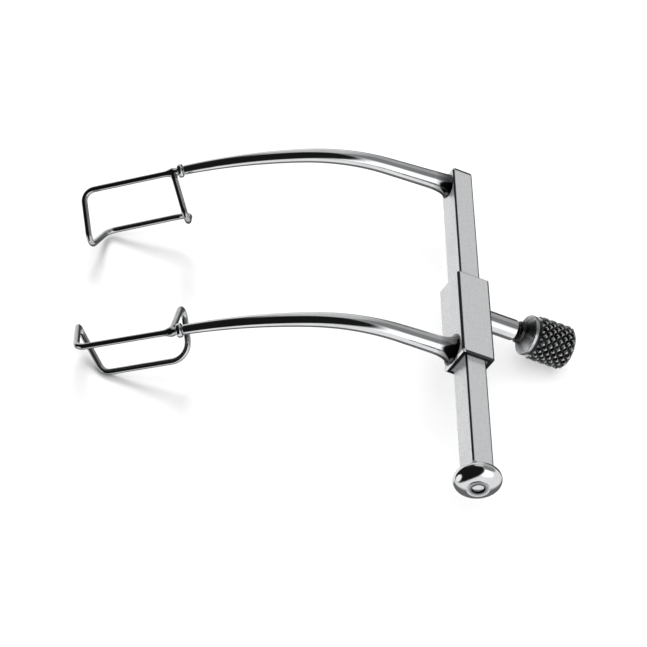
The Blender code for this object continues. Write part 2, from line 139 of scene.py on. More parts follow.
# Details that only the visual model has
ARM_SIDES = 48
WIRE_SIDES = 24
WIRE_STEP = 0.25 * MM
TURNED_SEGMENTS = 128
SMALL_SEGMENTS = 64
DRILL_SEGMENTS = 48
THREAD_SEGMENTS = 48
KNURL_COLUMNS = 16
KNURL_SAMPLES = 20
KNURL_PITCH = 1.45 * MM
KNURL_DEPTH = 0.42 * MM
KNURL_ROW = 0.075 * MM
KNURL_WALL = 1.35
THREAD_PITCH = 0.5 * MM
THREAD_DEPTH = 0.12 * MM
THREAD_SAMPLES = 8
BRAZE_SWELL = 0.3 * MM
BRAZE_REACH = 0.75 * MM
BAR_CHAMFER = 0.35 * MM
BLOCK_CHAMFER = 0.25 * MM
BLOCK_LEAD = 0.12 * MM
CHANNEL_BEVEL = 0.03 * MM
DOME_POWER = 0.8
COLLAR_RINGS = 22
EDGE_BAND = 0.1 * MM

# Each ring of a rod's rounded end: its share of the radius, and its inset in radii
ROD_END = ((0.55, 0.0), (0.88, 0.08), (1.0, 0.3))

# Values of the mark attribute on the ground steel: 1 is polished and painted brighter as a
# highlight, 0 is ground and -1 is painted black as shade
UPPER_EDGE_SHADE_MARK = -0.95
END_FACE_SHADE_MARK = -1.0
CHAMFER_HIGHLIGHT_MARK = 1.0
# The chamfer and end marks are partly polish and partly painted highlight
CHAMFER_MARK = 0.5
END_MARK = 0.6

# Values of the mark attribute on the knob: 1 is bare metal and 0 is painted black as shade
KNOB_BARE_MARK = 0.85
KNOB_HUB_MARK = 0.3
KNOB_BORE_MARK = 0.2


# Colours, linear
POLISHED_LIGHT = (0.84, 0.85, 0.86)
POLISHED_DARK = (0.72, 0.73, 0.745)
WIRE_LIGHT = (0.58, 0.59, 0.60)
WIRE_DARK = (0.44, 0.45, 0.46)
# Painted shade: black on the collars' feet and in the button's recess
PAINTED_SHADE_BLACK = (0.06, 0.06, 0.062)
GROUND_LIGHT = (0.74, 0.75, 0.76)
GROUND_DARK = (0.64, 0.65, 0.66)
GROUND_SPECK = (0.52, 0.52, 0.53)
# Painted highlight on the ground steel's polished chamfers and ends
EDGE_PAINTED_HIGHLIGHT = (0.90, 0.91, 0.92)
# Painted shade on the ground steel's upper edges and the block's end faces
EDGE_PAINTED_SHADE = (0.02, 0.02, 0.021)
KNURL_LIGHT = (0.62, 0.63, 0.64)
KNURL_DARK = (0.42, 0.43, 0.44)
# Painted shade in the knurl's grooves and on the knob's hub
KNURL_PAINTED_SHADE = (0.05, 0.05, 0.052)
BRONZE_LIGHT = (0.60, 0.42, 0.20)
BRONZE_DARK = (0.42, 0.28, 0.13)
FLOOR_COLOUR = (0.9, 0.9, 0.9, 1)


# ---------------------------------------------------------------- frame and mesh helpers


def tool_matrix():
    """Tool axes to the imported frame, from the bar's box and the screw joint's axis."""
    joint = next(j for j in frame["joints"] if j["name"] == "screw_travel")
    axis = Vector(joint["axis"])
    low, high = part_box("slide_bar")
    near_end = (low + high) / 2 - Vector((0, (high.y - low.y) / 2, 0))
    turn = Matrix.Rotation(math.atan2(-axis.z, axis.x), 4, "Y")
    return Matrix.Translation(near_end) @ turn


TOOL = tool_matrix()


def mesh_from(name, points, faces, marks=None, sharp=35):
    """A mesh whose points keep their tool coordinates, in millimetres, and a mark as attributes."""
    mesh = bpy.data.meshes.new(name)
    mesh.from_pydata([tuple(p) for p in points], [], faces)
    values = np.array([tuple(p) for p in points], np.float32)
    tool_co = mesh.attributes.new("tool_co", "FLOAT_VECTOR", "POINT")
    tool_co.data.foreach_set("vector", (values / MM).ravel())
    mark = mesh.attributes.new("mark", "FLOAT", "POINT")
    marks = np.zeros(len(points), np.float32) if marks is None else np.array(marks, np.float32)
    mark.data.foreach_set("value", marks)
    mesh.validate()
    mesh.shade_smooth()
    mesh.set_sharp_from_angle(angle=math.radians(sharp))
    return mesh


def grid_faces(rings, around, cap_start=False, cap_end=False, wrap=False):
    """Quads between rings of vertices. Each cap is a fan to one extra vertex after the rings."""
    faces = []
    last = rings if wrap else rings - 1
    for ring in range(last):
        after_ring = (ring + 1) % rings
        for k in range(around):
            after = (k + 1) % around
            faces.append((
                ring * around + k,
                ring * around + after,
                after_ring * around + after,
                after_ring * around + k,
            ))
    count = rings * around
    if cap_start:
        faces += [(count, (k + 1) % around, k) for k in range(around)]
        count += 1
    if cap_end:
        first = (rings - 1) * around
        faces += [(count, first + k, first + (k + 1) % around) for k in range(around)]
    return faces


def outward(mesh):
    """Turns all the faces of a closed mesh outwards."""
    bm = bmesh.new()
    bm.from_mesh(mesh)
    bmesh.ops.recalc_face_normals(bm, faces=bm.faces)
    bm.to_mesh(mesh)
    bm.free()


def place(mesh, node, body, material, matrix=None):
    """Puts a mesh that is modelled in tool axes where its CAD node is, and lets it stand for it."""
    outward(mesh)
    if matrix is not None:
        mesh.transform(matrix)
        refresh_tool_coordinates(mesh)
    mesh.transform(TOOL)
    mesh.materials.append(material)
    obj = bpy.data.objects.new(mesh.name, mesh)
    bpy.context.scene.collection.objects.link(obj)
    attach(obj, body)
    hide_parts(node)


def refresh_tool_coordinates(mesh):
    """Writes the vertices' present places to the mesh's tool coordinates."""
    values = np.empty(len(mesh.vertices) * 3, np.float32)
    mesh.vertices.foreach_get("co", values)
    mesh.attributes["tool_co"].data.foreach_set("vector", values / MM)


def frames_along(points):
    """Tangent and two normals at each point, carried along without twist."""
    tangents = []
    for k in range(len(points)):
        before, after = points[max(k - 1, 0)], points[min(k + 1, len(points) - 1)]
        tangents.append((after - before).normalized())
    normal = tangents[0].orthogonal().normalized()
    frames = []
    for k, tangent in enumerate(tangents):
        if k:
            normal = tangents[k - 1].rotation_difference(tangent) @ normal
            normal = (normal - tangent * normal.dot(tangent)).normalized()
        frames.append((tangent, normal, tangent.cross(normal)))
    return frames


def rod(name, points, radii, sides):
    """A closed round rod along points, with its ends rounded off a little."""
    frames = frames_along(points)
    rows = []
    for share, inset in ROD_END:
        centre = points[0] + frames[0][0] * radii[0] * inset
        rows.append((centre, radii[0] * share, frames[0]))
    rows += list(zip(points, radii, frames))[1:-1]
    for share, inset in reversed(ROD_END):
        centre = points[-1] - frames[-1][0] * radii[-1] * inset
        rows.append((centre, radii[-1] * share, frames[-1]))
    angles = [math.tau * k / sides for k in range(sides)]
    vertices = []
    for centre, radius, (_, side, up) in rows:
        vertices += [centre + radius * (math.cos(a) * side + math.sin(a) * up) for a in angles]
    vertices += [rows[0][0], rows[-1][0]]
    return mesh_from(name, vertices, grid_faces(len(rows), sides, True, True), sharp=50)


def turned(name, profile, axis, segments=TURNED_SEGMENTS, sharp=35, marks=None):
    """Spins (along, radius) pairs about an axis: a solid if the ends have radius 0, else a ring."""
    solid = profile[0][1] == 0
    rings = profile[1:-1] if solid else profile
    turn = Vector((0, 0, 1)).rotation_difference(Vector(axis)).to_matrix()
    vertices = []
    for along, radius in rings:
        for k in range(segments):
            angle = math.tau * k / segments
            spot = Vector((radius * math.cos(angle), radius * math.sin(angle), along))
            vertices.append(turn @ spot)
    if solid:
        vertices += [turn @ Vector((0, 0, profile[0][0])), turn @ Vector((0, 0, profile[-1][0]))]
    if marks is not None:
        marks = np.repeat(marks, segments)
    faces = grid_faces(len(rings), segments, solid, solid, wrap=not solid)
    return mesh_from(name, vertices, faces, marks, sharp)


def eased(profile, radius, steps=3):
    """The profile with each corner between its ends rounded, by no more than its edges allow."""
    path = [profile[0]]
    for before, corner, after in zip(profile, profile[1:], profile[2:]):
        b, c, a = Vector(before), Vector(corner), Vector(after)
        reach = min(radius, 0.45 * (b - c).length, 0.45 * (a - c).length)
        first = c + (b - c).normalized() * reach
        last = c + (a - c).normalized() * reach
        for step in range(steps + 1):
            share = step / steps
            spot = (1 - share) ** 2 * first + 2 * share * (1 - share) * c + share**2 * last
            path.append((spot.x, spot.y))
    path.append(profile[-1])
    return path


# ---------------------------------------------------------------- materials


def new_material(name):
    """A node material, its nodes, its links and its Principled shader."""
    material = bpy.data.materials.new(name)
    material.use_nodes = True
    nodes = material.node_tree.nodes
    return material, nodes, material.node_tree.links, nodes["Principled BSDF"]


def tool_noise(nodes, links, stretch, detail):
    """Noise over the tool's own coordinates, stretched by a factor per axis (cycles per mm)."""
    source = nodes.new("ShaderNodeAttribute")
    source.attribute_name = "tool_co"
    mapping = nodes.new("ShaderNodeMapping")
    mapping.inputs["Scale"].default_value = stretch
    noise = nodes.new("ShaderNodeTexNoise")
    noise.inputs["Scale"].default_value = 1.0
    noise.inputs["Detail"].default_value = detail
    links.new(source.outputs["Vector"], mapping.inputs["Vector"])
    links.new(mapping.outputs["Vector"], noise.inputs["Vector"])
    return noise.outputs["Fac"]


def spread(nodes, links, value, low, high, start=0.3, end=0.7):
    """Maps value from start..end to low..high, clamped."""
    node = nodes.new("ShaderNodeMapRange")
    node.inputs["From Min"].default_value = start
    node.inputs["From Max"].default_value = end
    node.inputs["To Min"].default_value = low
    node.inputs["To Max"].default_value = high
    links.new(value, node.inputs["Value"])
    return node.outputs["Result"]


def blend_colours(nodes, links, factor, first, second):
    """Mixes first and second, each a colour or another node's output."""
    node = nodes.new("ShaderNodeMix")
    node.data_type = "RGBA"
    links.new(factor, node.inputs["Factor"])
    for socket, colour in ((6, first), (7, second)):
        if isinstance(colour, tuple):
            node.inputs[socket].default_value = (*colour, 1)
        else:
            links.new(colour, node.inputs[socket])
    return node.outputs[2]


def join_values(nodes, links, first, second, operation="ADD"):
    node = nodes.new("ShaderNodeMath")
    node.operation = operation
    links.new(first, node.inputs[0])
    links.new(second, node.inputs[1])
    return node.outputs["Value"]


def bump_from(nodes, links, height, strength, distance):
    node = nodes.new("ShaderNodeBump")
    node.inputs["Strength"].default_value = strength
    node.inputs["Distance"].default_value = distance
    links.new(height, node.inputs["Height"])
    return node.outputs["Normal"]


def mark_value(nodes):
    source = nodes.new("ShaderNodeAttribute")
    source.attribute_name = "mark"
    return source.outputs["Fac"]


def polished_steel(name, stretch, light=POLISHED_LIGHT, dark=POLISHED_DARK):
    """Polished steel: faint haze in patches, hairlines along the piece, and black painted shade
    where marked.
    """
    material, nodes, links, shader = new_material(name)
    haze = tool_noise(nodes, links, (0.22, 0.22, 0.22), 4.0)
    hairs = tool_noise(nodes, links, stretch, 5.0)
    tone = blend_colours(nodes, links, spread(nodes, links, haze, 0, 1), light, dark)
    # Marked places are painted black as shade
    painted_shade_share = spread(nodes, links, mark_value(nodes), 0, 1, 0.0, 1.0)
    colour = blend_colours(nodes, links, painted_shade_share, tone, PAINTED_SHADE_BLACK)
    links.new(colour, shader.inputs["Base Color"])
    rough = spread(nodes, links, haze, 0.035, 0.09)
    scuffs = spread(nodes, links, hairs, 0.0, 0.05, 0.45, 0.75)
    links.new(join_values(nodes, links, rough, scuffs), shader.inputs["Roughness"])
    links.new(bump_from(nodes, links, hairs, 0.06, 0.02 * MM), shader.inputs["Normal"])
    shader.inputs["Metallic"].default_value = 1
    return material


def satin_steel(name):
    """Ground steel: fine lines along the bar, small specks, and edges that are polished with a
    painted highlight or painted black as shade.

    A mark above 0 makes it smoother and paints it brighter as a highlight. Below 0 it is painted
    black as shade and goes to full metal.
    """
    material, nodes, links, shader = new_material(name)
    lines = tool_noise(nodes, links, (16.0, 0.5, 16.0), 6.0)
    patches = tool_noise(nodes, links, (0.35, 0.2, 0.35), 4.0)
    specks = tool_noise(nodes, links, (2.6, 2.2, 2.6), 5.0)
    grinding = spread(nodes, links, lines, 0, 1)
    tone = blend_colours(nodes, links, grinding, GROUND_LIGHT, GROUND_DARK)
    mottle = spread(nodes, links, specks, 0, 0.35, 0.5, 0.75)
    tone = blend_colours(nodes, links, mottle, tone, GROUND_SPECK)
    mark = mark_value(nodes)
    # Marks above 0 are painted brighter as a highlight, marks below 0 black as shade
    painted_highlight_share = spread(nodes, links, mark, 0, 1, 0.0, 1.0)
    shade = spread(nodes, links, mark, 1, 0, -1.0, 0.0)
    tone = blend_colours(nodes, links, painted_highlight_share, tone, EDGE_PAINTED_HIGHLIGHT)
    tone = blend_colours(nodes, links, shade, tone, EDGE_PAINTED_SHADE)
    links.new(tone, shader.inputs["Base Color"])
    ground = join_values(
        nodes,
        links,
        spread(nodes, links, lines, 0.26, 0.36),
        spread(nodes, links, patches, -0.04, 0.08),
    )
    worn = spread(nodes, links, mark, 1.3, 0.35, -1.0, 1.0)
    links.new(join_values(nodes, links, ground, worn, "MULTIPLY"), shader.inputs["Roughness"])
    links.new(bump_from(nodes, links, lines, 0.22, 0.02 * MM), shader.inputs["Normal"])
    links.new(spread(nodes, links, mark, 1, 0.6, -0.8, 0.0), shader.inputs["Metallic"])
    return material


def knurled_steel(name):
    """Knurled steel: painted black as shade in the grooves and on the hub, bare metal on the
    teeth's tips.
    """
    material, nodes, links, shader = new_material(name)
    grain = tool_noise(nodes, links, (7.0, 7.0, 7.0), 5.0)
    height = mark_value(nodes)
    # Painted shade: black where the knurl is low and on the hub
    knurl_painted_shade = spread(nodes, links, height, 0, 1, 0.30, 0.86)
    metal = blend_colours(nodes, links, spread(nodes, links, grain, 0, 1), KNURL_LIGHT, KNURL_DARK)
    tone = blend_colours(nodes, links, knurl_painted_shade, KNURL_PAINTED_SHADE, metal)
    links.new(tone, shader.inputs["Base Color"])
    links.new(spread(nodes, links, grain, 0.16, 0.34), shader.inputs["Roughness"])
    links.new(bump_from(nodes, links, grain, 0.15, 0.03 * MM), shader.inputs["Normal"])
    shader.inputs["Metallic"].default_value = 1
    return material


def turned_bronze(name):
    """Bronze with fine turning rings."""
    material, nodes, links, shader = new_material(name)
    rings = tool_noise(nodes, links, (14.0, 2.0, 2.0), 4.0)
    turning = spread(nodes, links, rings, 0, 1)
    tone = blend_colours(nodes, links, turning, BRONZE_LIGHT, BRONZE_DARK)
    links.new(tone, shader.inputs["Base Color"])
    links.new(spread(nodes, links, rings, 0.25, 0.42), shader.inputs["Roughness"])
    shader.inputs["Metallic"].default_value = 1
    return material


# ---------------------------------------------------------------- bar, block, button


def beside(point, degrees, distance):
    """The point at this distance from another, in a direction."""
    angle = math.radians(degrees)
    return point[0] + distance * math.cos(angle), point[1] + distance * math.sin(angle)


def rounded_rectangle(width, height, bevel, steps=4):
    """Points (x, z, on_edge): each corner's arc, and a point of the flat on each side of it."""
    points = []
    for corner_x, corner_z, start in ((1, 1, 0), (-1, 1, 90), (-1, -1, 180), (1, -1, 270)):
        centre = (corner_x * (width / 2 - bevel), corner_z * (height / 2 - bevel))
        arc = [beside(centre, start + 90 * step / steps, bevel) for step in range(steps + 1)]
        points.append((*beside(arc[0], start - 90, EDGE_BAND), False))
        points += [(*point, True) for point in arc]
        points.append((*beside(arc[-1], start + 180, EDGE_BAND), False))
    return points


def square_rod(name, rings, wrap):
    """Joins (y, width, height, bevel, mark) rounded rectangles into one closed body.

    The upper long edges are painted black as shade in every ring with mark 0, and so is the upper
    side of every ring with a mark above 0.
    """
    vertices, marks = [], []
    for y, width, height, bevel, mark in rings:
        outline = rounded_rectangle(width, height, bevel)
        vertices += [(x, y, z) for x, z, _ in outline]
        for x, z, on_edge in outline:
            # Upper edges are painted black as shade
            long_edge = mark == 0 and on_edge
            end_edge = mark > 0 and x > bevel - width / 2
            marks.append(UPPER_EDGE_SHADE_MARK if z > 0 and (long_edge or end_edge) else mark)
    around = len(vertices) // len(rings)
    if not wrap:
        vertices += [(0, rings[0][0], 0), (0, rings[-1][0], 0)]
        marks += [rings[0][4], rings[-1][4]]
    faces = grid_faces(len(rings), around, not wrap, not wrap, wrap)
    return mesh_from(name, vertices, faces, marks, sharp=28)


def cut(mesh, cutters):
    """The mesh with each cutter's shape taken out of it, by exact Booleans."""
    work = bpy.data.objects.new("cut_work", mesh)
    bpy.context.scene.collection.objects.link(work)
    helpers = [work]
    for cutter in cutters:
        outward(cutter)
        helper = bpy.data.objects.new("cut_helper", cutter)
        bpy.context.scene.collection.objects.link(helper)
        helpers.append(helper)
        modifier = work.modifiers.new("cut", "BOOLEAN")
        modifier.operation = "DIFFERENCE"
        modifier.object = helper
    graph = bpy.context.evaluated_depsgraph_get()
    result = bpy.data.meshes.new_from_object(work.evaluated_get(graph), depsgraph=graph)
    result.name = mesh.name
    for helper in helpers:
        bpy.data.objects.remove(helper)
    return result


def moved(mesh, offset):
    """The same mesh, shifted."""
    mesh.transform(Matrix.Translation(offset))
    return mesh


def drill(radius, start, end, offset, axis):
    """A cylinder along an axis through offset, to cut a hole with."""
    profile = [(start, 0), (start, radius), (end, radius), (end, 0)]
    return moved(turned("drill", profile, axis, DRILL_SEGMENTS), offset)


def build_bar(material):
    """The square bar, with softly broken edges, a chamfered near end and a rounded far end."""
    chamfer = BAR_CHAMFER
    rings = []
    # The chamfer and end rings are polished and painted brighter as a highlight
    for y, inset, mark in (
        (0, chamfer, END_MARK),
        (chamfer, 0, CHAMFER_MARK),
        (chamfer + 0.1 * MM, 0, 0),
        (BAR_LENGTH / 2, 0, 0),
        (BAR_LENGTH - 2 * chamfer, 0, 0),
        (BAR_LENGTH - 1.6 * chamfer, 0, CHAMFER_MARK),
        (BAR_LENGTH - chamfer, 0.12 * chamfer, CHAMFER_MARK),
        (BAR_LENGTH - 0.4 * chamfer, 0.5 * chamfer, CHAMFER_MARK),
        (BAR_LENGTH, 1.6 * chamfer, END_MARK),
    ):
        rings.append((y, BAR_WIDTH - inset, BAR_HEIGHT - inset, BAR_BEVEL, mark))
    mesh = square_rod("slide_bar_ground", rings, False)
    depth = BUTTON_SCREW_LENGTH - BUTTON_LENGTH + MM
    hole = drill(BUTTON_SCREW_RADIUS + 0.05 * MM, -MM, depth, (0, 0, 0), (0, 1, 0))
    place(cut(mesh, [hole]), "slide_bar", "bar", material)


def build_block(material):
    """The sleeve: chamfered at both ends, outside and round the bar's channel."""
    far_y = BLOCK_NEAR_Y + BLOCK_LENGTH
    inner = (BAR_WIDTH + 2 * SLIDE_GAP, BAR_HEIGHT + 2 * SLIDE_GAP)
    outer = (BLOCK_WIDTH, BLOCK_HEIGHT)
    sliver = 0.02 * MM
    face = 2 * BLOCK_CHAMFER
    # The end faces are painted black as shade; the chamfers are polished and painted brighter as a
    # highlight
    end = [
        (BLOCK_LEAD, inner, 0, 0),
        (0, inner, -2 * BLOCK_LEAD, END_FACE_SHADE_MARK),
        (0, outer, face, END_FACE_SHADE_MARK),
        (sliver, outer, face - 2 * sliver, CHAMFER_HIGHLIGHT_MARK),
        (BLOCK_CHAMFER, outer, 0, CHAMFER_HIGHLIGHT_MARK),
        (BLOCK_CHAMFER + 0.12 * MM, outer, 0, 0),
    ]
    stations = [(BLOCK_NEAR_Y + depth, *rest) for depth, *rest in end]
    stations += [(far_y - depth, *rest) for depth, *rest in reversed(end)]
    rings = []
    for y, size, inset, mark in stations:
        bevel = CHANNEL_BEVEL if size is inner else BLOCK_BEVEL
        rings.append((y, size[0] - inset, size[1] - inset, bevel, mark))
    mesh = square_rod("sliding_block_ground", rings, True)
    screw_hole = drill(
        BUSH_BORE_RADIUS, BAR_WIDTH / 2, BLOCK_WIDTH / 2 + MM, (0, SCREW_Y, 0), (1, 0, 0)
    )
    place(cut(mesh, [screw_hole]), "sliding_block", "slider", material)


def quarter_turns(steps, whole):
    """The first steps of a right angle that is split into whole equal steps, without the 0."""
    return [step / whole * math.pi / 2 for step in range(1, steps + 1)]


def button_profile():
    """(along, radius) from the button's seat, round its dome and down into its recess.

    It comes with a mark for each point, which is 1 inside the recess, where it is painted black as
    shade.
    """
    rim_y = 0.42 * BUTTON_LENGTH
    seat_edge = 0.08 * MM
    bore_radius = BUTTON_SCREW_RADIUS + 0.03 * MM
    profile = [
        (0, bore_radius),
        (0, BUTTON_NECK_RADIUS - 0.1 * MM),
        (seat_edge, BUTTON_NECK_RADIUS),
    ]
    for turn in quarter_turns(14, 14):
        reach = BUTTON_NECK_RADIUS + (BUTTON_RADIUS - BUTTON_NECK_RADIUS) * math.sin(turn)
        profile.append((seat_edge + (rim_y - seat_edge) * (1 - math.cos(turn)), reach))
    for turn in quarter_turns(21, 24):
        along = rim_y + (BUTTON_LENGTH - rim_y) * math.sin(turn)
        profile.append((along, BUTTON_RADIUS * math.cos(turn) ** DOME_POWER))
    floor_y = BUTTON_LENGTH - BUTTON_RECESS_DEPTH
    profile += [
        (BUTTON_LENGTH, BUTTON_RECESS_RADIUS + 0.22 * MM),
        (BUTTON_LENGTH - 0.06 * MM, BUTTON_RECESS_RADIUS + 0.04 * MM),
        (BUTTON_LENGTH - 0.16 * MM, BUTTON_RECESS_RADIUS),
        (floor_y + 0.1 * MM, BUTTON_RECESS_RADIUS),
        (floor_y, BUTTON_RECESS_RADIUS - 0.1 * MM),
        (floor_y, bore_radius),
    ]
    recess_limit = BUTTON_RECESS_RADIUS + 0.01 * MM
    # The recess is painted black as shade
    marks = [along > rim_y and radius < recess_limit for along, radius in profile]
    return profile, marks


def button_screw_profile():
    """(along, radius) of the screw, from its tip to the top of its round head."""
    seat = BUTTON_LENGTH - BUTTON_RECESS_DEPTH + 0.02 * MM
    top = BUTTON_LENGTH - 0.05 * MM
    tip = seat - BUTTON_SCREW_LENGTH
    head = 0.82 * BUTTON_SCREW_HEAD_RADIUS
    dome = seat + 0.12 * MM
    profile = [
        (tip, 0),
        (tip, 0.7 * BUTTON_SCREW_RADIUS),
        (tip + 0.25 * MM, BUTTON_SCREW_RADIUS),
        (seat, BUTTON_SCREW_RADIUS),
        (seat, head - 0.04 * MM),
        (seat + 0.05 * MM, head),
    ]
    for turn in quarter_turns(9, 9):
        profile.append((dome + (top - dome) * math.sin(turn), head * math.cos(turn)))
    profile[-1] = (top, 0)
    return profile


def build_button(material, screw_material):
    """The turned stop and the round-headed screw in its recess."""
    offset = (0, -JOINT_GAP, 0)
    profile, marks = button_profile()
    mesh = turned("end_button_turned", profile, (0, -1, 0), sharp=40, marks=marks)
    place(moved(mesh, offset), "end_button", "bar", material)
    mesh = turned("end_button_screw_turned", button_screw_profile(), (0, -1, 0), sharp=40)
    place(moved(mesh, offset), "end_button_screw", "bar", screw_material)


# ---------------------------------------------------------------- arms and blades


def heading(dip):
    """The direction away from the bar at this angle below it, in the arm's plane."""
    return Vector((-math.cos(dip), 0, -math.sin(dip)))


def across(dip):
    """The direction at right angles to heading, on the side of the bend's hollow."""
    return Vector((math.sin(dip), 0, -math.cos(dip)))


def bend(start, dip_from, dip_to, radius, steps):
    """Points after start along an arc that turns from one dip to the other."""
    centre = start + radius * across(dip_from)
    return [centre - radius * across(dip) for dip in np.linspace(dip_from, dip_to, steps + 1)[1:]]


def arm_route(straight):
    """The arm's centreline in its own plane, from the end of its straight root to its tip."""
    points = [heading(ARM_ROOT_DIP) * (straight / math.cos(ARM_ROOT_DIP))]
    points += bend(points[-1], ARM_ROOT_DIP, ARM_MIDDLE_DIP, ARM_TIGHT_BEND_RADIUS, 40)
    points += bend(points[-1], ARM_MIDDLE_DIP, ARM_TIP_DIP, ARM_EASY_BEND_RADIUS, 30)
    return points


def arm_mesh(name, face_x, straight):
    """The tapered arm, from just inside its collar to the ferrule."""
    root = heading(ARM_ROOT_DIP)
    reach = (0.02 * MM - face_x) / math.cos(ARM_ROOT_DIP)
    curve = arm_route(straight)
    first = root * reach
    lead_points = 15
    lead = [first + (curve[0] - first) * (k / lead_points) for k in range(lead_points)]
    points = lead + curve
    steps = [(b - a).length for a, b in zip(points, points[1:])]
    travelled = (np.concatenate([[0], np.cumsum(steps)]) / sum(steps)).tolist()
    radii = [ARM_ROOT_RADIUS + (ARM_TIP_RADIUS - ARM_ROOT_RADIUS) * share for share in travelled]
    return rod(name, points, radii, ARM_SIDES)


def collar_mesh(name, face_x, foot, shift):
    """The brazed collar: a hollow flare from a thin lip on the arm to an oval foot on the face.

    foot is its reach along and across the bar, and shift moves the foot's middle along the bar.
    The mark is 1 at the foot, which is painted black as shade, and fades to 0 at the lip.
    """
    base_x = face_x - 0.01 * MM
    top_radius = ARM_ROOT_RADIUS - 0.035 * MM
    rows = [(base_x, foot[0] - 0.1 * MM, foot[1] - 0.1 * MM, shift)]
    for step in range(COLLAR_RINGS + 1):
        turn = step / COLLAR_RINGS * math.pi / 2
        flare = 1 - math.sin(turn)
        x = face_x - 0.08 * MM - (COLLAR_LENGTH - 0.1 * MM) * (1 - math.cos(turn))
        reaches = [top_radius + (reach - top_radius) * flare for reach in foot]
        rows.append((x, *reaches, shift * flare))
    end_x = rows[-1][0]
    for out, less in ((0.1 * MM, 0.01 * MM), (0.14 * MM, 0.12 * MM)):
        rows.append((end_x - out, top_radius - less, top_radius - less, 0))
    bore_radius = ARM_ROOT_RADIUS - 0.1 * MM
    rows.append((base_x, bore_radius, bore_radius, 0))
    vertices, marks = [], []
    for index, (x, reach_y, reach_z, off) in enumerate(rows):
        dip = x * math.tan(ARM_ROOT_DIP)
        for k in range(TURNED_SEGMENTS):
            angle = math.tau * k / TURNED_SEGMENTS
            y, z = reach_y * math.cos(angle) + off, reach_z * math.sin(angle) + dip
            vertices.append((x, y, z))
        # The foot is painted black as shade, fading towards the lip
        marks += [max(0.0, 1 - (index / COLLAR_RINGS) ** 3)] * TURNED_SEGMENTS
    return mesh_from(name, vertices, grid_faces(len(rows), TURNED_SEGMENTS, wrap=True), marks)


def rounded_path(corners, radii, steps=12):
    """The line through corners, with each inner corner turned on its own radius."""
    path = [corners[0]]
    for before, corner, after, radius in zip(corners, corners[1:], corners[2:], radii):
        to_before = (before - corner).normalized()
        to_after = (after - corner).normalized()
        half = to_before.angle(to_after) / 2
        middle = (to_before + to_after).normalized()
        centre = corner + middle * (radius / math.sin(half))
        start = corner + to_before * (radius / math.tan(half)) - centre
        end = corner + to_after * (radius / math.tan(half)) - centre
        for step in range(steps + 1):
            path.append(centre + radius * start.slerp(end, step / steps))
    path.append(corners[-1])
    return path


def finer(path, longest):
    """The path with extra points, so that no step is longer than longest."""
    points = [path[0]]
    for start, end in zip(path, path[1:]):
        pieces = max(1, math.ceil((end - start).length / longest))
        points += [start + (end - start) * (k / pieces) for k in range(1, pieces + 1)]
    return points


def blade_corners(lean):
    """The wire's corners in blade axes: along the rail, down from it, and out towards the hooks.

    lean moves both hooks' ends along the rail.
    """
    tip_along, tip_drop, tip_depth = TIP_HOOK_END
    root_along, root_drop, root_depth = ROOT_HOOK_END
    tip_along += lean
    root_along += lean * ROOT_HOOK_LEAN_SHARE
    half = HOOK_MOUTH / 2
    lower_start, lower_end = LOWER_RAIL_ALONG
    corners = [
        (JOINT_GAP, 0, 0),
        (RAIL_LENGTH, 0, 0),
        (tip_along, tip_drop - half, tip_depth),
        (tip_along, tip_drop + half, tip_depth),
        (lower_end, LOWER_RAIL_DROP, LOWER_RAIL_DEPTH),
        (lower_start, LOWER_RAIL_DROP, LOWER_RAIL_DEPTH),
        (root_along, root_drop + half, root_depth),
        (root_along, root_drop - half, root_depth),
        (HOOK_ROOT_ALONG, 0, 0),
    ]
    return [Vector(corner) for corner in corners]


def blade_mesh(name, inward, tip):
    """One wire, swollen with braze where its end meets the rail."""
    columns = (heading(ARM_TIP_DIP), across(ARM_TIP_DIP), Vector((0, inward, 0)))
    axes = Matrix(columns).transposed()
    turns = [WIRE_CORNER_RADIUS, HOOK_TURN_RADIUS, HOOK_TURN_RADIUS, WIRE_CORNER_RADIUS]
    turns += [WIRE_EASY_CORNER_RADIUS, HOOK_TURN_RADIUS, HOOK_TURN_RADIUS]
    path = rounded_path(blade_corners(inward * HOOK_LEAN), turns)
    path = finer(path, WIRE_STEP)
    joint = Vector((HOOK_ROOT_ALONG, 0, 0))
    radii = []
    for point in path:
        near = math.exp(-(((point - joint).length / BRAZE_REACH) ** 2))
        radii.append(WIRE_RADIUS + BRAZE_SWELL * near)
    radii[-1] = radii[-2] = WIRE_RADIUS + 0.6 * BRAZE_SWELL
    points = [tip + axes @ point for point in path]
    return rod(name, points, radii, WIRE_SIDES)


def ferrule_mesh(name, tip):
    """The thin collar that closes the arm's tip on the wire."""
    start, end = JOINT_GAP - 0.08 * MM, JOINT_GAP + FERRULE_LENGTH
    inner = WIRE_RADIUS - 0.05 * MM
    profile = [(start, inner), (start, ARM_TIP_RADIUS)]
    profile += eased(
        [
            (start, ARM_TIP_RADIUS + 0.02 * MM),
            (start + 0.12 * MM, FERRULE_RADIUS),
            (end - 0.2 * MM, FERRULE_RADIUS),
            (end, WIRE_RADIUS + 0.12 * MM),
        ],
        0.2 * MM,
        5,
    )
    profile.append((end, inner))
    return moved(turned(name, profile, heading(ARM_TIP_DIP), SMALL_SEGMENTS), tip)


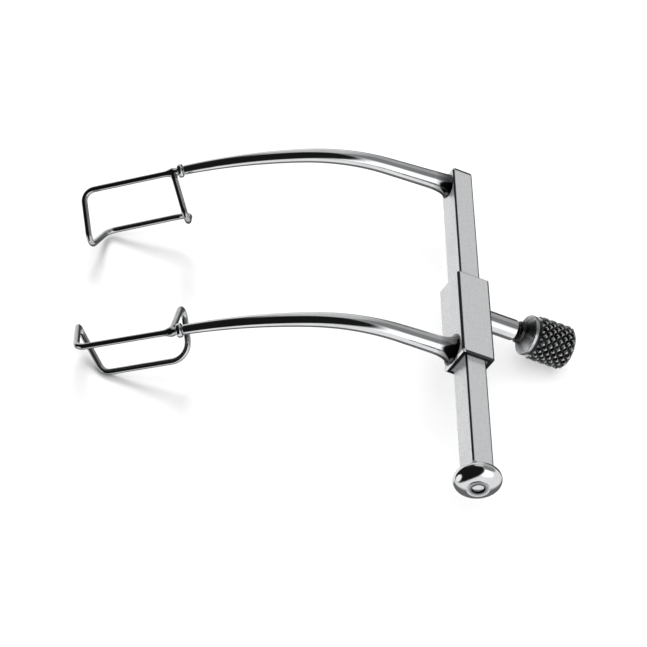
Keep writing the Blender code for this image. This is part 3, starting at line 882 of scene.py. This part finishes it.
def build_side(side, body, face_x, straight, foot, shift, inward, turn, arm_y, steel):
    """An arm with its collar, ferrule and blade, turned a little towards the other arm.

    inward is 1 where the other arm lies in the positive Y direction, and else -1.
    """
    lean = Matrix.Translation((0, arm_y, 0)) @ Matrix.Rotation(-inward * turn, 4, "Z")
    tip = arm_route(straight)[-1]
    pieces = {
        f"{side}_arm": arm_mesh(f"{side}_arm_polished", face_x, straight),
        f"{side}_arm_collar": collar_mesh(f"{side}_arm_collar_brazed", face_x, foot, shift),
        f"{side}_blade": blade_mesh(f"{side}_blade_wire", inward, tip),
        f"{side}_blade_ferrule": ferrule_mesh(f"{side}_blade_ferrule_turned", tip),
    }
    for node, mesh in pieces.items():
        place(mesh, node, body, steel[node.removeprefix(f"{side}_")], lean)


# ---------------------------------------------------------------- thumbscrew


def build_bush(material):
    """The threaded boss on the block's side."""
    start = BLOCK_WIDTH / 2 + 0.01 * MM
    profile = [
        (start, BUSH_BORE_RADIUS),
        (start, BUSH_RADIUS + 0.25 * MM),
        (start + 0.25 * MM, BUSH_RADIUS),
        (BUSH_END_X - 0.25 * MM, BUSH_RADIUS),
        (BUSH_END_X, BUSH_RADIUS - 0.2 * MM),
        (BUSH_END_X, BUSH_BORE_RADIUS),
    ]
    profile = [profile[0]] + eased(profile[1:-1], 0.08 * MM) + [profile[-1]]
    mesh = moved(turned("screw_bush_turned", profile, (1, 0, 0)), (0, SCREW_Y, 0))
    place(mesh, "screw_bush", "slider", material)


def thread_mesh(name, start_x, end_x):
    """A shank with a real helical thread, plain and tapered at its tip."""
    rows = int(round((end_x - start_x) / THREAD_PITCH * THREAD_SAMPLES))
    tip_length = 0.3 * MM
    vertices = []
    for row in range(rows + 1):
        x = start_x + (end_x - start_x) * row / rows
        fade = min(1.0, (x - start_x) / (0.6 * MM), (end_x - x) / (0.3 * MM))
        taper = 0.3 * SHANK_RADIUS * max(0.0, 1 - (x - start_x) / tip_length)
        for k in range(THREAD_SEGMENTS):
            phase = (x / THREAD_PITCH - k / THREAD_SEGMENTS) % 1
            groove = 1 - abs(2 * phase - 1)
            radius = SHANK_RADIUS - taper - THREAD_DEPTH * groove * max(0.0, fade)
            angle = math.tau * k / THREAD_SEGMENTS
            vertices.append((x, radius * math.cos(angle), radius * math.sin(angle)))
    vertices += [(start_x, 0, 0), (end_x, 0, 0)]
    return mesh_from(name, vertices, grid_faces(rows + 1, THREAD_SEGMENTS, True, True), sharp=60)


def knurl_height(x, angle):
    """Height from 0 in the two crossed sets of grooves to 1 on the teeth's flat tips."""
    turn = KNURL_COLUMNS * angle / math.tau
    height = 1.0
    for hand in (1, -1):
        phase = (turn + hand * x / KNURL_PITCH) % 1
        wall = abs(2 * phase - 1)
        height = min(height, (1 - wall) * KNURL_WALL)
    return height


def knob_profile():
    """(x, radius, knurl) rows, from the bore's mouth round the outside to the end face.

    knurl is how much of the knurling's depth a row has.
    """
    s, e = KNOB_START_X, KNOB_END_X
    front = eased(
        [
            (s, SHANK_RADIUS + 0.05 * MM),
            (s, KNOB_HUB_RADIUS - 0.2 * MM),
            (s + 0.2 * MM, KNOB_HUB_RADIUS),
            (s + 0.8 * MM, KNOB_HUB_RADIUS),
            (s + 1.8 * MM, KNOB_LIP_RADIUS),
            (s + 2.4 * MM, KNOB_LIP_RADIUS),
            (s + 2.5 * MM, KNOB_GROOVE_RADIUS),
            (s + 2.9 * MM, KNOB_GROOVE_RADIUS),
            (s + 3.0 * MM, KNOB_RADIUS - 0.3 * MM),
        ],
        0.12 * MM,
        4,
    )
    rows = [(x, radius, 0.0) for x, radius in front]
    first, last = s + 3.05 * MM, e - 0.55 * MM
    count = int(round((last - first) / KNURL_ROW))
    for row in range(count + 1):
        x = first + (last - first) * row / count
        shoulder = max(0.0, 1 - (x - first) / (0.25 * MM)) * 0.22 * MM
        rows.append((x, KNOB_RADIUS - shoulder, 1.0))
    end = [
        (e - 0.50 * MM, KNOB_RADIUS - 0.05 * MM),
        (e - 0.15 * MM, KNOB_RADIUS - 0.55 * MM),
        (e, KNOB_RADIUS - 1.3 * MM),
        (e, 1.2 * MM),
        (e, 0.6 * MM),
    ]
    end = eased(end, 0.15 * MM, 4)
    return rows + [(x, radius, 0.0 if k else 1.0) for k, (x, radius) in enumerate(end)]


def turned_mark(x, radius):
    """The mark of the knob's plain turned parts: painted shade on the hub and groove, bare metal on
    the lip and end.
    """
    at_end = x > (KNOB_START_X + KNOB_END_X) / 2
    on_lip = radius > KNOB_LIP_RADIUS - 0.3 * MM
    return KNOB_BARE_MARK if at_end or on_lip else KNOB_HUB_MARK


def build_knob(material):
    """The knob: hub, lip, groove, a body with real diamond teeth, and a chamfered end."""
    segments = KNURL_COLUMNS * KNURL_SAMPLES
    inner_radius = SHANK_RADIUS + 0.05 * MM
    inner_x = SHANK_END_X + 0.05 * MM
    rows = [(inner_x, inner_radius, 0.0)] + knob_profile()
    vertices, marks = [], []
    for x, radius, knurl in rows:
        for k in range(segments):
            angle = math.tau * k / segments
            height = knurl_height(x, angle)
            reach = radius - KNURL_DEPTH * knurl * (1 - height)
            vertices.append((x, reach * math.cos(angle), reach * math.sin(angle)))
            # The teeth's low parts and the hub are painted black as shade through the mark
            marks.append(height if knurl > 0.5 else turned_mark(x, radius))
    vertices += [(inner_x, 0, 0), (KNOB_END_X, 0, 0)]
    marks += [KNOB_BORE_MARK, KNOB_BARE_MARK]
    faces = grid_faces(len(rows), segments, True, True)
    mesh = mesh_from("thumbscrew_knob_knurled", vertices, faces, marks, sharp=55)
    mesh = moved(mesh, (0, SCREW_Y, 0))
    place(mesh, "thumbscrew_knob", "thumbscrew", material)


def build_thumbscrew(steel, bronze, knurled):
    """The clamp shoe, the threaded shank and the knob."""
    shoe_x = BAR_WIDTH / 2 + JOINT_GAP
    shoe_end_x = shoe_x + SHOE_THICKNESS
    corners = [
        (shoe_x, 0.2 * MM),
        (shoe_x, SHOE_RADIUS),
        (shoe_end_x, SHOE_RADIUS),
        (shoe_end_x, 0.2 * MM),
    ]
    profile = [(shoe_x, 0), *eased(corners, 0.08 * MM), (shoe_end_x, 0)]
    mesh = turned("clamp_shoe_turned", profile, (1, 0, 0), SMALL_SEGMENTS)
    place(moved(mesh, (0, SCREW_Y, 0)), "clamp_shoe", "shoe", bronze)
    mesh = thread_mesh("thumbscrew_shank_threaded", shoe_end_x + JOINT_GAP, SHANK_END_X)
    mesh = moved(mesh, (0, SCREW_Y, 0))
    place(mesh, "thumbscrew_shank", "thumbscrew", steel)
    build_knob(knurled)


# ---------------------------------------------------------------- stage

CAMERA_TARGET = TOOL.translation + Vector((-22.87, 29.22, 0.0)) * MM
CAMERA_DISTANCE = 355.44 * MM
CAMERA_ELEVATION = math.radians(47.9)
CAMERA_AZIMUTH = math.radians(4.4)
CAMERA_ROLL = math.radians(5.22)
CAMERA_LENS = 124.8
FLOOR_HALF = 1.5
KEY_DIRECTION = (-0.15, 1.25, 1.0)
KEY_ANGLE = math.radians(25)
KEY_STRENGTH = 2.55
FILL_DIRECTION = (0.0, 0.0, 1.0)
FILL_ANGLE = math.radians(80)
FILL_STRENGTH = 1.7
WORLD_LEVEL = 0.85

# Light and dark areas of the studio, each laid over those before it: the direction, the angles
# from it in degrees where the area starts to fade in and where it is full, and its brightness
WORLD_LOBES = (
    ((0.0, -0.5, -0.85), 75, 40, 0.92),
    ((0.05, 0.25, -0.97), 54, 42, 0.16),
    ((0.5, 0.8, -0.27), 32, 18, 0.06),
    ((-0.62, 0.62, -0.47), 34, 18, 1.00),
    ((0.50, -0.80, 0.33), 32, 20, 1.40),
    ((-0.75, -0.35, 0.55), 77, 68, 0.01),
    ((0.25, 0.62, 0.74), 36, 24, 0.62),
    ((0.70, 0.10, 0.70), 36, 24, 0.24),
    ((0.60, 0.70, 0.40), 29, 16, 0.42),
    ((-0.88, -0.35, -0.33), 24, 14, 1.0),
    ((-0.45, 0.67, 0.59), 20, 10, 0.04),
)


def add_camera():
    """The camera at the photo's viewing angle."""
    up, side = CAMERA_ELEVATION, CAMERA_AZIMUTH
    forward = Vector((math.sin(side) * math.cos(up), math.cos(side) * math.cos(up), -math.sin(up)))
    right = Vector((math.cos(side), -math.sin(side), 0))
    upward = right.cross(forward)
    turned_right = math.cos(CAMERA_ROLL) * right + math.sin(CAMERA_ROLL) * upward
    turned_up = -math.sin(CAMERA_ROLL) * right + math.cos(CAMERA_ROLL) * upward
    data = bpy.data.cameras.new("camera")
    data.sensor_width = 36
    data.lens = CAMERA_LENS
    data.clip_start, data.clip_end = 0.01, 10
    camera = bpy.data.objects.new("camera", data)
    bpy.context.scene.collection.objects.link(camera)
    axes = Matrix((turned_right, turned_up, -forward)).transposed().to_4x4()
    camera.matrix_world = Matrix.Translation(CAMERA_TARGET - forward * CAMERA_DISTANCE) @ axes
    bpy.context.scene.camera = camera


def add_floor():
    """A plain pale floor, which the steel doesn't mirror: it mirrors the studio instead."""
    bm = bmesh.new()
    corners = [(-1, -1), (1, -1), (1, 1), (-1, 1)]
    bm.faces.new([bm.verts.new((x * FLOOR_HALF, y * FLOOR_HALF, 0)) for x, y in corners])
    mesh = bpy.data.meshes.new("floor")
    bm.to_mesh(mesh)
    bm.free()
    material, _, _, shader = new_material("floor_pale")
    shader.inputs["Base Color"].default_value = FLOOR_COLOUR
    shader.inputs["Roughness"].default_value = 0.9
    shader.inputs["Specular IOR Level"].default_value = 0
    mesh.materials.append(material)
    floor = bpy.data.objects.new("floor", mesh)
    bpy.context.scene.collection.objects.link(floor)
    floor.visible_glossy = False


def soft_light(name, direction, angle, strength, blockers):
    """An even, soft light from one direction, which only the blockers shade."""
    data = bpy.data.lights.new(name, "SUN")
    data.angle = angle
    data.energy = strength
    light = bpy.data.objects.new(name, data)
    bpy.context.scene.collection.objects.link(light)
    light.rotation_mode = "QUATERNION"
    light.rotation_quaternion = Vector(direction).to_track_quat("Z", "Y")
    light.visible_glossy = False
    blocking = bpy.data.collections.new(f"{name}_blockers")
    for obj in blockers:
        blocking.objects.link(obj)
    light.light_linking.blocker_collection = blocking


def add_lights():
    """A key from behind and above, shaded by the blades only, and a wide fill from above."""
    blades = [
        obj
        for obj in bpy.context.scene.objects
        if "blade" in obj.name and obj.type == "MESH" and not obj.hide_render
    ]
    soft_light("key", KEY_DIRECTION, KEY_ANGLE, KEY_STRENGTH, blades)
    soft_light("fill", FILL_DIRECTION, FILL_ANGLE, FILL_STRENGTH, [])


def world_lobe(nodes, links, ray, direction, outer, inner, current, level):
    """Blends current to level inside a cone about direction, from outer to inner degrees off it."""
    dot = nodes.new("ShaderNodeVectorMath")
    dot.operation = "DOT_PRODUCT"
    dot.inputs[1].default_value = Vector(direction).normalized()
    links.new(ray, dot.inputs[0])
    share = nodes.new("ShaderNodeMapRange")
    share.interpolation_type = "SMOOTHSTEP"
    share.inputs["From Min"].default_value = math.cos(math.radians(outer))
    share.inputs["From Max"].default_value = math.cos(math.radians(inner))
    links.new(dot.outputs["Value"], share.inputs["Value"])
    mix = nodes.new("ShaderNodeMix")
    mix.data_type = "FLOAT"
    links.new(share.outputs["Result"], mix.inputs["Factor"])
    if isinstance(current, float):
        mix.inputs[2].default_value = current
    else:
        links.new(current, mix.inputs[2])
    mix.inputs[3].default_value = level
    return mix.outputs[0]


def add_world():
    """A pale studio with the light and dark areas that give the steel its bands."""
    world = bpy.data.worlds.new("studio")
    bpy.context.scene.world = world
    world.use_nodes = True
    nodes, links = world.node_tree.nodes, world.node_tree.links
    ray = nodes.new("ShaderNodeTexCoord").outputs["Generated"]
    level = WORLD_LEVEL
    for direction, outer, inner, value in WORLD_LOBES:
        level = world_lobe(nodes, links, ray, direction, outer, inner, level, value)
    links.new(level, nodes["Background"].inputs["Color"])
    nodes["Background"].inputs["Strength"].default_value = 1.0


def build():
    """Every piece of the retractor."""
    steel = {
        "arm": polished_steel("arm_steel", (0.8, 9.0, 9.0)),
        "arm_collar": polished_steel("collar_steel", (3.0, 5.0, 5.0)),
        "blade": polished_steel("wire_steel", (4.0, 4.0, 4.0), WIRE_LIGHT, WIRE_DARK),
        "blade_ferrule": polished_steel("ferrule_steel", (8.0, 2.0, 8.0)),
    }
    build_bar(satin_steel("bar_steel"))
    build_block(satin_steel("block_steel"))
    build_button(
        polished_steel("button_steel", (2.0, 9.0, 2.0)),
        polished_steel("screw_steel", (4.0, 9.0, 4.0)),
    )
    build_side(
        side="fixed",
        body="bar",
        face_x=-BAR_WIDTH / 2,
        straight=FIXED_ARM_STRAIGHT,
        foot=FIXED_COLLAR_FOOT,
        shift=FIXED_COLLAR_SHIFT,
        inward=-1,
        turn=FIXED_ARM_LEAN,
        arm_y=FIXED_ARM_Y,
        steel=steel,
    )
    build_side(
        side="sliding",
        body="slider",
        face_x=-BLOCK_WIDTH / 2,
        straight=SLIDING_ARM_STRAIGHT,
        foot=SLIDING_COLLAR_FOOT,
        shift=0,
        inward=1,
        turn=SLIDING_ARM_LEAN,
        arm_y=SLIDING_ARM_Y,
        steel=steel,
    )
    build_bush(polished_steel("bush_steel", (9.0, 2.0, 2.0)))
    build_thumbscrew(
        polished_steel("shank_steel", (9.0, 3.0, 3.0)),
        turned_bronze("shoe_bronze"),
        knurled_steel("knob_steel"),
    )


build()
add_floor()
add_lights()
add_world()
add_camera()
bpy.context.scene.view_settings.view_transform = "Standard"
